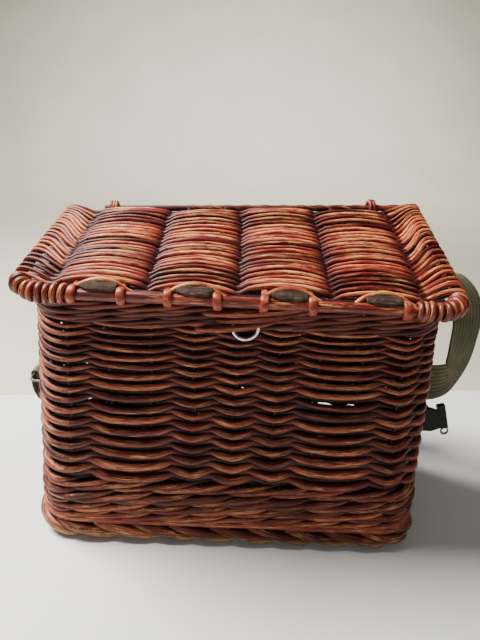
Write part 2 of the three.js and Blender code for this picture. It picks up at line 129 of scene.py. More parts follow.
def on_wall(t, z, out):
    """Points on the basket's wall at heights z, a distance out from its outer face."""
    t, z, out = np.broadcast_arrays(np.asarray(t, float), z, out)
    share = np.clip(z / rim_middle, 0, 1)
    half = [foot_half[i] + (mouth_half[i] - foot_half[i]) * share for i in (0, 1)]
    x, y, east, north = plan(t, half)
    return np.stack([x + east * out, y + north * out, z], axis=-1)


def risen(t, share, top_gap=RIM_RADIUS):
    """Heights a share of the way from the top of the foot's waling to the sloping rim."""
    x, y, _, _ = plan(t, mouth_half)
    return WALE_TOP + (rim_height(x, y) - top_gap - WALE_TOP) * share


def put_in(name, data):
    """A new object of the scene."""
    thing = bpy.data.objects.new(name, data)
    bpy.context.scene.collection.objects.link(thing)
    return thing


# Rods: many centre lines in one mesh of edges, which a node tree turns into round rods


class Rods:
    """Centre lines, each with its radius, how far out of the weave it stands (its crest, which sets
    its painted weave shadow), and its tint.
    """

    def __init__(self):
        self.points, self.edges, self.facts = [], [], []
        self.count = 0

    def add(self, line, radius, crest=0.5, tint=None, closed=False):
        line = np.asarray(line, float)
        size = len(line)
        step = np.linalg.norm(np.diff(line, axis=0), axis=1)
        run = np.concatenate([[0], np.cumsum(step)]) + chance.uniform(0, 9)
        tint = chance.uniform() if tint is None else tint
        facts = [np.broadcast_to(v, size) for v in (radius, crest, tint, run)]
        self.points.append(line)
        self.facts.append(np.stack(facts, axis=1))
        number = np.arange(size) + self.count
        self.edges.append(np.stack([number[:-1], number[1:]], axis=1))
        if closed:
            self.edges.append(np.array([[number[-1], number[0]]]))
        self.count += size

    def build(self, name, sides, finish, body, slot, *stands_for):
        mesh = bpy.data.meshes.new(name + "_lines")
        points, edges = np.concatenate(self.points), np.concatenate(self.edges)
        mesh.from_pydata(points.tolist(), edges.tolist(), [])
        facts = np.concatenate(self.facts)
        for column, fact in enumerate(("thickness", "crest", "tint", "run")):
            layer = mesh.attributes.new(fact, "FLOAT", "POINT")
            layer.data.foreach_set("value", np.ascontiguousarray(facts[:, column]))
        lines = put_in(name + "_lines", mesh)
        maker = lines.modifiers.new("Rods", "NODES")
        maker.node_group = rod_tree
        settings = {"Sides": sides, "Finish": finish}
        for socket in rod_tree.interface.items_tree:
            if socket.name in settings:
                maker[socket.identifier] = settings[socket.name]
        return settle(lines, name, body, slot, *stands_for)


def settle(maker, name, body, slot, *stands_for):
    """Turns what an object's nodes make into a plain mesh that rides on a body."""
    depsgraph = bpy.context.evaluated_depsgraph_get()
    mesh = bpy.data.meshes.new_from_object(maker.evaluated_get(depsgraph))
    mesh.name = name
    bpy.data.objects.remove(maker)
    return dress(mesh, name, body, slot, *stands_for)


def dress(mesh, name, body, slot, *stands_for):
    """Makes a mesh a piece that rides on a body, and stands for the CAD's nodes that it names."""
    piece = put_in(name, mesh)
    if stands_for:
        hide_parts(*stands_for)
    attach(piece, body)
    return piece


def make_rod_tree():
    """Round rods along edges: Sides sets how many faces go round, Finish is the material."""
    tree = bpy.data.node_groups.new("rods along lines", "GeometryNodeTree")
    sockets = (("Lines", "INPUT", "NodeSocketGeometry"), ("Sides", "INPUT", "NodeSocketInt"),
               ("Finish", "INPUT", "NodeSocketMaterial"), ("Rods", "OUTPUT", "NodeSocketGeometry"))
    for label, way, kind in sockets:
        tree.interface.new_socket(label, in_out=way, socket_type=kind)

    def node(kind, links, **settings):
        made = tree.nodes.new(kind)
        for key, value in settings.items():
            setattr(made, key, value)
        for socket, source in links.items():
            if isinstance(source, bpy.types.NodeSocket):
                tree.links.new(source, made.inputs[socket])
            else:
                made.inputs[socket].default_value = source
        return made

    given = node("NodeGroupInput", {})
    lines = node("GeometryNodeMeshToCurve", {"Mesh": given.outputs["Lines"]})
    thickness = node("GeometryNodeInputNamedAttribute", {"Name": "thickness"}, data_type="FLOAT")
    circle = node("GeometryNodeCurvePrimitiveCircle",
                  {"Resolution": given.outputs["Sides"], "Radius": 1.0})
    place = node("GeometryNodeInputPosition", {})
    marked = node("GeometryNodeStoreNamedAttribute",
                  {"Geometry": circle.outputs[0], "Name": "around", "Value": place.outputs[0]},
                  data_type="FLOAT_VECTOR", domain="POINT")
    swept = node("GeometryNodeCurveToMesh",
                 {"Curve": lines.outputs[0], "Profile Curve": marked.outputs[0],
                  "Scale": thickness.outputs[0], "Fill Caps": True})
    # The normal's height, kept as facing, lets the willow paint shade on the undersides of rods.
    direction = node("GeometryNodeInputNormal", {})
    normal = node("ShaderNodeSeparateXYZ", {"Vector": direction.outputs[0]})
    turned = node("GeometryNodeStoreNamedAttribute",
                  {"Geometry": swept.outputs[0], "Name": "facing", "Value": normal.outputs[2]},
                  data_type="FLOAT", domain="POINT")
    smooth = node("GeometryNodeSetShadeSmooth", {"Geometry": turned.outputs[0]})
    real = node("GeometryNodeRealizeInstances", {"Geometry": smooth.outputs[0]})
    finished = node("GeometryNodeSetMaterial",
                    {"Geometry": real.outputs[0], "Material": given.outputs["Finish"]})
    node("NodeGroupOutput", {"Rods": finished.outputs[0]})
    return tree


rod_tree = make_rod_tree()


def tube(name, rings, finish):
    """A closed mesh through rings of points, with flat ends and all its faces turned outwards."""
    count, around = rings.shape[:2]
    last = (count - 1) * around
    faces = [[i + j, i + (j + 1) % around, i + around + (j + 1) % around, i + around + j]
             for i in range(0, last, around) for j in range(around)]
    faces += [list(range(around))[::-1], list(range(last, last + around))]
    mesh = bpy.data.meshes.new(name)
    mesh.from_pydata(rings.reshape(-1, 3).tolist(), [], faces)
    mesh.materials.append(finish)
    shape = bmesh.new()
    shape.from_mesh(mesh)
    bmesh.ops.recalc_face_normals(shape, faces=shape.faces)
    shape.to_mesh(mesh)
    shape.free()
    return mesh


def sweep(name, line, across, width, thickness, finish, corner, around=12):
    """A flat band along a line: across gives its width's direction, u runs across, v along.

    A lower corner value makes the section squarer; around counts the section's points."""
    ahead = np.gradient(line, axis=0)
    ahead /= np.linalg.norm(ahead, axis=1)[:, None]
    level = across - ahead * (across * ahead).sum(1)[:, None]
    level /= np.linalg.norm(level, axis=1)[:, None]
    face = np.cross(level, ahead)
    angle = 2 * np.pi * (np.arange(around) + 0.5) / around
    shape = np.stack([np.cos(angle), np.sin(angle)], axis=1)
    shape = np.sign(shape) * np.abs(shape) ** corner
    rings = (line[:, None] + level[:, None] * (shape[None, :, :1] * width[:, None, None] / 2)
             + face[:, None] * (shape[None, :, 1:] * thickness / 2))
    run = np.concatenate([[0], np.cumsum(np.linalg.norm(np.diff(line, axis=0), axis=1))])
    mesh = tube(name, rings, finish)
    layer = mesh.uv_layers.new(name="UVMap")
    place = np.stack([np.tile(shape[:, 0] * 0.5 + 0.5, len(line)), np.repeat(run, around)], axis=1)
    corners = np.zeros(len(mesh.loops), int)
    mesh.loops.foreach_get("vertex_index", corners)
    layer.data.foreach_set("uv", place[corners].ravel())
    mesh.shade_smooth()
    return mesh


def hermite(a, b, leave, arrive, count):
    """Points of a curve from a to b, short of b, that leaves and arrives in given directions."""
    f = np.linspace(0, 1, count, endpoint=False)[:, None]
    return ((2 * f ** 3 - 3 * f ** 2 + 1) * a + (f ** 3 - 2 * f ** 2 + f) * leave
            + (3 * f ** 2 - 2 * f ** 3) * b + (f ** 3 - f ** 2) * arrive)


def smooth_line(points, per_span):
    """A smooth curve through the points; columns past the third are carried along."""
    padded = np.vstack([2 * points[0] - points[1], points, 2 * points[-1] - points[-2]])
    pieces = [hermite(b, c, (c - a) / 2, (d - b) / 2, per_span)
              for a, b, c, d in zip(padded, padded[1:], padded[2:], padded[3:])]
    return np.vstack(pieces + [points[-1:]])


# Materials


class Value:
    """A socket of a material's nodes that can be used in sums."""

    def __init__(self, finish, socket):
        self.finish, self.socket = finish, socket

    def _with(self, operation, *sources):
        return self.finish.add("ShaderNodeMath", {"operation": operation}, dict(enumerate(sources)))

    def __add__(self, other):
        return self._with("ADD", self, other)

    def __sub__(self, other):
        return self._with("SUBTRACT", self, other)

    def __mul__(self, other):
        return self._with("MULTIPLY", self, other)

    def __pow__(self, other):
        return self._with("POWER", self, other)

    def __rsub__(self, other):
        return self._with("SUBTRACT", other, self)

    def wave(self):
        return self._with("SINE", self)

    def size(self):
        return self._with("ABSOLUTE", self)

    def within(self, low, high):
        """0 below low, 1 above high, with a soft step between them."""
        return self.finish.add("ShaderNodeMapRange", {"interpolation_type": "SMOOTHSTEP"},
                               {"Value": self, "From Min": low, "From Max": high})


class Finish:
    """One material, made of a Principled shader and what feeds it."""

    def __init__(self, name, roughness, metallic=0.0, coat=0.0, coat_roughness=0.3,
                 sheen=0.0, gloss=0.4):
        self.material = bpy.data.materials.new(name)
        self.material.use_nodes = True
        self.nodes, self.links = self.material.node_tree.nodes, self.material.node_tree.links
        self.shader = self.nodes["Principled BSDF"]
        uniform = {"Roughness": roughness, "Metallic": metallic, "Coat Weight": coat,
                   "Coat Roughness": coat_roughness, "Sheen Weight": sheen,
                   "Specular IOR Level": gloss}
        for socket, value in uniform.items():
            self.shader.inputs[socket].default_value = value

    def add(self, kind, settings=None, inputs=None, output=0):
        """One more node: its settings, what feeds its inputs, and the output to go on with."""
        node = self.nodes.new(kind)
        for key, value in (settings or {}).items():
            if key == "stops":
                ramp = node.color_ramp
                for place, colour in value[len(ramp.elements):]:
                    ramp.elements.new(place)
                for stop, (place, colour) in zip(ramp.elements, value):
                    stop.position = place
                    stop.color = (*colour, 1)
            else:
                setattr(node, key, value)
        for name, value in (inputs or {}).items():
            socket = node.inputs[name]
            value = getattr(value, "socket", value)
            if isinstance(value, bpy.types.NodeSocket):
                self.links.new(value, socket)
            else:
                socket.default_value = value
        return Value(self, node.outputs[output])

    def apart(self, vector):
        """The three parts of a vector."""
        parts = self.add("ShaderNodeSeparateXYZ", {}, {0: vector}).socket.node.outputs
        return [Value(self, socket) for socket in parts]

    def attribute(self, name, output="Fac"):
        return self.add("ShaderNodeAttribute", {"attribute_name": name}, output=output)

    def noise(self, place, scale, detail=3.0, roughness=0.55):
        return self.add("ShaderNodeTexNoise", {}, {"Vector": place, "Scale": scale,
                                                   "Detail": detail, "Roughness": roughness})

    def mix(self, share, first, second):
        """Share 0 gives the first colour and 1 the second, a plain red, green and blue."""
        sockets = {"Factor": share, 6: first, 7: (*second, 1)}
        return self.add("ShaderNodeMix", {"data_type": "RGBA"}, sockets, output=2)

    def ramp(self, value, *stops):
        return self.add("ShaderNodeValToRGB", {"stops": stops}, {"Fac": value})

    def feed(self, **sources):
        """Links values to the shader: base_color feeds Base Color, and so on."""
        for name, value in sources.items():
            socket = self.shader.inputs[name.replace("_", " ").title()]
            self.links.new(value.socket, socket)

    def bump(self, height, strength, distance):
        return self.add("ShaderNodeBump", {}, {"Height": height, "Strength": strength,
                                               "Distance": distance})

    def object_place(self):
        return self.add("ShaderNodeTexCoord", output="Object")


def along_rod(finish, round_scale, run_scale):
    """A place on a rod's skin: round it, and along it, in noise units."""
    around = finish.attribute("around", "Vector")
    run = finish.attribute("run")
    shift = finish.attribute("tint") * 37.0
    length = finish.add("ShaderNodeCombineXYZ", {}, {"X": shift, "Y": shift, "Z": run * run_scale})
    scaled = finish.add("ShaderNodeVectorMath", {"operation": "SCALE"},
                        {0: around, "Scale": round_scale})
    return finish.add("ShaderNodeVectorMath", {"operation": "ADD"}, {0: scaled, 1: length})


WEAVE_SHADOW = (0.018, 0.006, 0.005)


def willow(name, dark, stain, light, worn, worn_amount, roughness=0.46, foot_wear=0.0, gloss=0.22):
    """Stained, varnished willow: streaks along the rod, tan where it is worn, painted shadow in the
    weave and painted shade on undersides.

    A rod's tint makes it lighter, and its crest says how far out of the weave it stands: a low
    crest paints the weave's shadow on it and keeps wear off it."""
    finish = Finish(name, roughness, coat=0.03, coat_roughness=0.2, gloss=gloss)
    tint = finish.attribute("tint")
    crest = finish.attribute("crest")
    streak = finish.noise(along_rod(finish, 3.2, 45.0), 1.0, 6.0, 0.66)
    patch = finish.noise(along_rod(finish, 0.6, 24.0), 1.0, 3.0)
    scuff = finish.noise(along_rod(finish, 4.5, 85.0), 1.0, 5.0, 0.6)
    speck = finish.noise(along_rod(finish, 3.0, 500.0), 1.2, 2.0)
    tone = streak * 0.62 + tint * 0.2 + patch * 0.26 - 0.03
    colour = finish.ramp(tone, (0.4, dark), (0.52, stain), (0.66, light))
    rubbed = scuff.within(0.6 - worn_amount, 0.68 - worn_amount)
    rubbed = rubbed * (patch + tint * 0.16).within(0.46, 0.66) * crest.within(0.35, 0.9)
    if foot_wear:
        near_floor = finish.apart(finish.object_place())[2].within(12 * mm, 4 * mm)
        rubbed = rubbed + near_floor * scuff.within(0.36, 0.56) * foot_wear
    colour = finish.mix(rubbed * 0.85, colour, worn)
    # Painted shade: the underside of every rod, where the normal points down, is mixed towards the
    # streaks' dark.
    underside = finish.attribute("facing").within(0.35, -0.55)
    colour = finish.mix(underside * 0.35, colour, dark)
    pits = speck.within(0.66, 0.72) * 0.6
    colour = finish.mix(pits, colour, dark)
    # Painted shadow: where a rod sinks into the weave (low crest), its colour is mixed towards
    # WEAVE_SHADOW.
    out_of_weave = crest.within(0.24, 0.82)
    colour = finish.mix((1 - out_of_weave) * 0.9, colour, WEAVE_SHADOW)
    rough = streak * 0.25 + (roughness - 0.12) + pits * 0.2
    height = streak * 0.6 + speck * 0.25
    finish.feed(base_color=colour, roughness=rough, normal=finish.bump(height, 0.5, 0.5 * mm))
    return finish.material


# Each willow's colours: the dark of its streaks, its stain, its lightest stain, and worn to tan
wall_willow = willow("willow of the wall", (0.045, 0.008, 0.006), (0.18, 0.027, 0.018),
                     (0.33, 0.076, 0.039), (0.58, 0.29, 0.11), 0.09)
lid_willow = willow("willow of the lid", (0.034, 0.003, 0.003), (0.22, 0.014, 0.014),
                    (0.42, 0.05, 0.03), (0.92, 0.46, 0.17), 0.12, 0.44, gloss=0.2)
pale_willow = willow("worn willow", (0.05, 0.006, 0.005), (0.2, 0.022, 0.011),
                     (0.4, 0.085, 0.03), (0.78, 0.42, 0.14), 0.12, 0.36)
rod_willow = willow("willow of the front rod", (0.04, 0.005, 0.004), (0.19, 0.018, 0.011),
                    (0.34, 0.055, 0.022), (0.72, 0.36, 0.12), 0.08, 0.34, gloss=0.35)
border_willow = willow("willow of the borders", (0.03, 0.006, 0.004), (0.12, 0.022, 0.012),
                       (0.22, 0.055, 0.024), (0.5, 0.27, 0.1), 0.07, foot_wear=1.0)
# A darker copy of the willow that paints shade on the stakes, the rim border, the base and the
# lid's stakes.
shaded_willow = willow("shaded willow", (0.02, 0.004, 0.003), (0.07, 0.012, 0.007),
                     (0.13, 0.026, 0.013), (0.34, 0.12, 0.05), 0.0)

# Camera: the photograph's place and angle, worked out from the lid's stakes and the basket's edges

IMAGE_HEIGHT = 640
FOCAL_PIXELS = 490
SENSOR_SIZE = 36
EYE = Vector((-0.0063, -0.4191, 0.3432))
LOOK_DOWN, LOOK_RIGHT, LEAN = math.radians(20.5), math.radians(1.13), math.radians(3.26)


def make_camera():
    data = bpy.data.cameras.new("camera")
    data.sensor_width = SENSOR_SIZE
    data.lens = FOCAL_PIXELS * data.sensor_width / IMAGE_HEIGHT
    data.clip_start = 0.01
    camera = put_in("camera", data)
    level = math.cos(LOOK_DOWN)
    ahead = Vector((math.sin(LOOK_RIGHT) * level, math.cos(LOOK_RIGHT) * level,
                    -math.sin(LOOK_DOWN)))
    right = Vector((math.cos(LOOK_RIGHT), -math.sin(LOOK_RIGHT), 0))
    up = right.cross(ahead)
    leaned_right = right * math.cos(LEAN) + up * math.sin(LEAN)
    leaned_up = up * math.cos(LEAN) - right * math.sin(LEAN)
    turn = Matrix((leaned_right, leaned_up, -ahead)).transposed()
    camera.matrix_world = Matrix.Translation(EYE) @ turn.to_4x4()
    bpy.context.scene.camera = camera


make_camera()

# Wall


def weave_wave(t, row):
    """Outside where the stake has the row's letter, inside elsewhere, nearly straight between."""
    held = np.array([1.0 if letter == row else -1.0 for letter in STAKE_ROWS])
    low = np.floor(t).astype(int)
    f = t - low
    a, b = held[low % STAKES], held[(low + 1) % STAKES]
    bend = 0.6 * f + 0.4 * (1 - np.cos(np.pi * f)) / 2
    return a + (b - a) * bend


def long_stroke(t, row):
    """1 at the middle of a stroke that passes outside two stakes on end, 0 at its stakes."""
    low = np.floor(t).astype(int)
    held = np.array([letter == row for letter in STAKE_ROWS])
    both = held[low % STAKES] & held[(low + 1) % STAKES]
    return both * np.sin(np.pi * (t - low))


STEPS_PER_STAKE = 6
loop_t = np.arange(STAKES * STEPS_PER_STAKE) / STEPS_PER_STAKE


def stake_jitter(size):
    """Small chance offsets, one for each stake, that run smoothly round the wall's rows."""
    values = chance.normal(0, size, STAKES)
    return np.interp(loop_t, np.arange(STAKES + 1), np.append(values, values[0]))


# The rows of plain weave: their pitch gets smaller with their height
PITCH_HEIGHTS = np.array([66, 150, 180, 214]) * mm
PITCHES = np.array([6.2, 4.75, 3.7, 2.9]) * mm
# Waling at the foot, in mm: its height, the rods' radius, and how far it swells out
FOOT_WALES = ((25.5, 2.4, 1), (35.2, 2.6, 1.5), (46.2, 3.1, 1.8), (57.4, 2.6, 1.1))
# Waling under the rim: its share of the way up from the foot's waling, and its swell in mm.
# The plain rows end a little under it, or ROWS_END under the rim in front.
TOP_WALES = ((0.925, 0.3), (0.96, 0.8), (0.995, 1.2))
TOP_WALE_RADIUS = 2.0 * mm
FIRST_ROW = 69 * mm
ROWS_END = 9 * mm


def weave_wall():
    """Plain weave up the wall, waling at its foot and under the rim, and a rod at the bottom."""
    rods = Rods()
    front_top = rim_height(0, -hinge_y) - RIM_RADIUS
    at_back = (1 + plan(loop_t, mouth_half)[3]) / 2
    sink_outside, sink_inside = 0.66 + 0.29 * at_back, 1.16 - 0.74 * at_back
    z = FIRST_ROW
    number = 0
    while z < front_top - ROWS_END:
        pitch = np.interp(z, PITCH_HEIGHTS, PITCHES)
        share = (z - WALE_TOP) / (front_top - WALE_TOP)
        letter = "AB"[number % 2]
        swing = weave_wave(loop_t, letter)
        height = risen(loop_t, share)
        sink = np.where(swing > 0, sink_outside, sink_inside) * np.abs(swing)
        height += stake_jitter(0.45 * mm) - pitch * sink
        height -= 0.22 * pitch * long_stroke(loop_t, letter)
        out = np.sin(swing * np.pi / 2) * WEAVE_SWING - STAKE_INSET + stake_jitter(0.25 * mm)
        thick = np.where(swing > 0, 0.52 + 0.05 * swing, 0.52 - 0.13 * swing) + 0.08 * at_back
        size = pitch * thick * (1 + stake_jitter(0.06))
        # The crest, low where the row passes inside, paints the weave's shadow on it there.
        rods.add(on_wall(loop_t, height, out), size, (swing + 1) / 2, closed=True)
        z += pitch
        number += 1
    for height, radius, swell in FOOT_WALES:
        add_wale(rods, height * mm, radius * mm, swell * mm, 1.0)
    # The top waling's crest of 0.55 paints shade on it, as it lies in the lid's shadow.
    for share, swell in TOP_WALES:
        add_wale(rods, risen(loop_t, share), TOP_WALE_RADIUS, swell * mm, 0.55)
    bottom = 20.5 * mm + stake_jitter(0.4 * mm)
    rods.add(on_wall(loop_t, bottom, -1.2 * mm), 2.9 * mm, 0.8, closed=True)
    rods.build("woven_wall", 8, wall_willow, "basket", "willow", "wall")


def add_wale(rods, height, radius, swell, crest):
    """Three rods that each pass two stakes outside and one inside, climbing as they go."""
    stroke = 5 / 6
    for start in range(3):
        cycle = np.mod((loop_t - start) / 3, 1)
        inside = np.abs(np.mod(cycle - stroke + 0.5, 1) - 0.5) * 3
        dip = np.where(inside < 1, (1 + np.cos(np.pi * inside)) / 2, 0)
        climb = np.where(cycle < stroke, cycle / stroke - 0.5, 0.5 - (cycle - stroke) * 6)
        z = height + climb * radius * 4.1 + stake_jitter(0.4 * mm)
        out = (1 - 2 * dip) * WEAVE_SWING - STAKE_INSET + swell
        size = radius * (1.02 - 0.3 * dip) * (1 + stake_jitter(0.07))
        rods.add(on_wall(loop_t, z, out), size, (1 - dip) * crest, closed=True)


def add_stakes():
    """The upright stakes, a little behind the middle of the weave."""
    rods = Rods()
    count = 14
    for t in range(STAKES):
        z = np.linspace(STAKE_FOOT, risen(np.array([t]), 1, 0)[0], count)
        lean = chance.normal(0, 0.03, count) + t
        rods.add(on_wall(lean, z, -STAKE_INSET - 0.8 * mm), STAKE_RADIUS, 0.15)
    rods.build("wall_stakes", 7, shaded_willow, "basket", "willow")


BORDER_ROD_RADIUS = 4.4 * mm
BORDER_START, BORDER_STROKE = -0.45, 1.75  # in stakes


def add_foot_border():
    """One bent-down stake end after another: each starts high and dives under its neighbour."""
    rods = Rods()
    f = np.linspace(0, 1, 16)
    z = (15.5 - 11.2 * f ** 1.15 + 4 * np.clip(f - 0.9, 0, 1)) * mm
    bow = np.sin(np.pi * np.clip(f * 1.02, 0, 1)) ** 0.8
    out = (-4.5 + 5.2 * bow - 24 * np.clip(f - 0.82, 0, 1)) * mm
    taper = np.clip(0.5 + 1.4 * np.sin(np.pi * (0.1 + 0.8 * f)), 0, 1)
    for t in range(STAKES):
        place = t + BORDER_START + BORDER_STROKE * f + chance.normal(0, 0.03)
        size = BORDER_ROD_RADIUS * taper * (1 + chance.normal(0, 0.06))
        rods.add(on_wall(place, z, out), size, 0.95)
    core = on_wall(loop_t, 6.5 * mm, -7 * mm)
    rods.add(core, 4.6 * mm, 0.1, closed=True)
    rods.build("plaited_foot_border", 10, border_willow, "basket", "willow", "foot_border")


def add_rim_border():
    """Strands laid round each other, like a rope, on top of the wall."""
    rods = Rods()
    strands, strand_radius, reach, stakes_per_turn = 3, 2.5 * mm, 2.1 * mm, 1.5
    t = np.arange(STAKES * 12) / 12
    x, y, east, north = plan(t, mouth_half)
    base = on_wall(t, rim_height(x, y) - 0.6 * mm, -4.6 * mm)
    for strand in range(strands):
        angle = 2 * np.pi * (t / stakes_per_turn + strand / strands)
        line = base.copy()
        line[:, 0] += east * reach * np.cos(angle)
        line[:, 1] += north * reach * np.cos(angle)
        line[:, 2] += reach * np.sin(angle)
        # A low crest paints shade on the strands, which lie in the lid's shadow.
        rods.add(line, strand_radius, 0.36 + 0.24 * np.sin(angle), closed=True)
    rods.build("roped_rim_border", 8, shaded_willow, "basket", "willow", "rim_border")


# From the front ring's middle, in mm: left end, right end, their heights, and the strand's tint
RING_STRANDS = ((-38, 26, -4.5, 6.5, 0.6), (-24, 42, 3.5, 13.5, 0.35), (-34, 46, 8.6, 17, 0.5))


def add_ring_strands():
    """Three strands of the top waling that stand out over the upper half of the front ring."""
    rods = Rods()
    ring_x, ring_y, ring_z = middle("front_ring")
    f = np.linspace(0, 1, 18)
    rise = np.sin(np.pi * f) ** 0.6
    for left, right, low, high, tint in RING_STRANDS:
        line = np.stack([ring_x + (left + (right - left) * f) * mm,
                         ring_y + (5 - 9.6 * rise) * mm,
                         ring_z + (low + (high - low) * f) * mm], axis=1)
        rods.add(line, 2.4 * mm * (0.7 + 0.3 * rise), 0.74, tint)
    rods.build("strands_over_ring", 10, wall_willow, "basket", "willow")


def weave_base():
    """Short rods woven across five long sticks, flush with the foot border's underside."""
    rods = Rods()
    half = half_size("base_panel")
    pitch, corner, level = 4.6 * mm, 28 * mm, 4.7 * mm
    sticks = np.linspace(-0.78, 0.78, 5) * half[1]
    for i in range(int(2 * half[0] / pitch)):
        x = (i + 0.5) * pitch - half[0]
        into = max(0, abs(x) - (half[0] - corner)) / corner
        reach = half[1] - corner * (1 - math.sqrt(max(0.0, 1 - into * into))) - 1.5 * mm
        y = np.linspace(-reach, reach, 31)
        wave = np.cos(np.pi * (y - sticks[0]) / (sticks[1] - sticks[0]) + np.pi * (i % 2))
        line = np.stack([np.full_like(y, x), y, level + wave * 2.0 * mm], axis=1)
        rods.add(line, 2.2 * mm, 0.5)
    for y in sticks:
        reach = half[0] - 6 * mm
        x = np.linspace(-reach, reach, 12)
        rods.add(np.stack([x, np.full_like(x, y), np.full_like(x, level)], axis=1), 2.6 * mm, 0.4)
    rods.build("woven_base", 7, shaded_willow, "basket", "willow", "base_panel")


weave_wall()
add_stakes()
add_foot_border()
add_rim_border()
weave_base()
add_ring_strands()

# Lid

LID_ROD_RADIUS = 1.9 * mm
LID_ROWS = 44
SEGMENT = 68.3 * mm
VALLEYS = np.arange(-2, 3) * SEGMENT
UNDER = -1.8 * mm  # where a rod passes under the stakes
BULGE = 6.4 * mm  # how high it arches over them
STICK_RADIUS = 2.6 * mm
STICK_LIFT = 1.6 * mm
STICK_CORNER = 20 * mm
end_stick_x = half_size("lid_panel")[0] - STICK_RADIUS - 2 * LID_ROD_RADIUS
row_back = hinge_y - back_rod_radius - 2.0 * mm
row_front = front_rod_y + 7.5 * mm
stick_straight = row_back - (front_rod_y + STICK_CORNER)
stick_turn = STICK_CORNER * math.pi / 2


def on_lid(x, y, lift):
    """Points a lift above the lid's middle surface."""
    x, y, lift = np.broadcast_arrays(x, y, lift)
    return np.stack([x, y, lid_height(x, y) + lift], axis=-1)


def edge_stick(run, side):
    """A point on the stick round the lid's end, its corner and its front, and the way out of it."""
    turned = min(max((run - stick_straight) / stick_turn, 0), 1)
    angle = turned * math.pi / 2
    y = row_back - min(run, stick_straight) - STICK_CORNER * math.sin(angle)
    past_turn = max(0, run - stick_straight - stick_turn)
    x = end_stick_x - STICK_CORNER * (1 - math.cos(angle)) - past_turn
    point = on_lid(side * x, y, STICK_LIFT * (1 - turned))
    return point, np.array([side * math.cos(angle), -math.sin(angle), 0.0])


def turn_round(centre, out, radius, degrees):
    """Points round a centre: 0 degrees lies straight out of the lid, and 90 straight up."""
    angle = np.radians(degrees)[:, None]
    return centre + radius * (np.cos(angle) * out + np.sin(angle) * UP)


def lid_end(row, side, over, start):
    """From the last valley out to the end stick: over it and round, or under it."""
    share = (row + 0.5 + (0.14 if row // 2 % 2 else -0.14) * over) / LID_ROWS
    run = (stick_straight + 8 * mm) * share ** 1.28
    centre, out = edge_stick(run, side)
    wrap = STICK_RADIUS + LID_ROD_RADIUS + 0.1 * mm
    if run > stick_straight:
        thicker = front_rod_radius - STICK_RADIUS
        wrap += thicker * min(1, (run - stick_straight) / stick_turn)
    gap = np.linalg.norm(centre - start)
    if over:
        leave = np.array([side * gap, 0.2 * gap, 0.5 * gap])
        line = hermite(start, centre + UP * wrap, leave, out * gap * 0.9, 9)
        return np.vstack([line, turn_round(centre, out, wrap, np.linspace(90, -115, 12))])
    low = centre - UP * wrap * 0.4 - out * 1.5 * mm
    return hermite(start, low, np.array([side * gap, 0, 0]), out * gap * 0.7, 8)


def weave_lid():
    """Rods from end to end, over the stakes in every other segment and under them between."""
    rods = Rods()
    share = (np.arange(LID_ROWS) + 0.5) / LID_ROWS
    spread = share + 0.1 * np.sin(np.pi * share) * (1 - share)
    steps = 12
    x = VALLEYS[:-1, None] + SEGMENT * np.arange(steps) / steps
    x = np.append(x.ravel(), VALLEYS[-1])
    section = np.minimum(((x - VALLEYS[0]) / SEGMENT + 1e-6).astype(int), len(VALLEYS) - 2)
    f = (x - VALLEYS[0]) / SEGMENT - section
    arch = np.clip(np.sin(np.pi * np.clip(f, 0, 1)), 0, 1)
    for row in range(LID_ROWS):
        y_row = row_back + (row_front - row_back) * spread[row] + chance.normal(0, 0.5 * mm)
        over = (section + row) % 2 == 0
        bulge = BULGE * min(1, 0.5 + 5 * share[row])
        lift = np.where(over, UNDER + 1.6 * mm + bulge * arch ** 0.62, UNDER - 0.2 * mm * arch)
        lift[0::steps] = UNDER + 0.9 * mm
        lift += np.interp(x, np.linspace(x[0], x[-1], 9), chance.normal(0, 0.2 * mm, 9))
        wander = np.interp(x, np.linspace(x[0], x[-1], 9), chance.normal(0, 0.75 * mm, 9))
        sag = -1.0 * mm * arch * over * (1 - 2 * share[row])
        body = on_lid(x, y_row + wander + sag, lift)
        over_left = row % 2 == 1
        left = lid_end(row, -1, over_left, body[0])[:0:-1]
        right = lid_end(row, 1, not over_left, body[-1])[1:]
        line = np.vstack([left, body, right])
        # Where a rod passes under, its low crest paints the weave's shadow on it.
        crest = np.concatenate([np.full(len(left), 0.66 if over_left else 0.1),
                                np.where(over, 0.36 + 0.64 * arch, 0.1),
                                np.full(len(right), 0.1 if over_left else 0.72)])
        slim = np.concatenate([np.full(len(left), 0.87), np.ones(len(body)),
                               np.full(len(right), 0.9)])
        width = LID_ROD_RADIUS * (1 + chance.normal(0, 0.12)) * (1.12 - 0.12 * crest) * slim
        rods.add(line, width, crest)
    rods.build("woven_lid", 9, lid_willow, "lid", "willow", "lid_panel")


def nodes_named(start):
    """The frame's nodes of one kind, from left to right."""
    return sorted((n for n in frame["nodes"] if n.startswith(start)), key=lambda n: middle(n)[0])


wraps = nodes_named("lid_wrap_")
tongues = nodes_named("lid_tongue_")
wrap_x = [middle(name)[0] for name in wraps]
stake_gap = wrap_x[1] - wrap_x[0]
stake_x = sorted(side * (odd * SEGMENT + end * stake_gap) / 2
                 for side in (-1, 1) for odd in (1, 3) for end in (-1, 1))


def add_lid_stakes():
    """The stakes in pairs, and the sticks along the lid's front and back that end them."""
    rods = Rods()
    for x in stake_x:
        beside_tie = abs(x) > 1.5 * SEGMENT
        y = np.linspace(hinge_y - (11 if beside_tie else 3) * mm, front_rod_y + 7 * mm, 12)
        rods.add(on_lid(x, y, 1.6 * mm), 2.2 * mm, 0.2)
    x = np.linspace(-VALLEYS[-1] - 8 * mm, VALLEYS[-1] + 8 * mm, 30)
    rods.add(on_lid(x, front_rod_y + 6.6 * mm, -0.8 * mm), 2.6 * mm, 0.3)
    rods.add(on_lid(0.78 * x, row_back + 0.6 * mm, -2.4 * mm), 2.0 * mm, 0.3)
    rods.build("lid_stakes", 7, shaded_willow, "lid", "willow")


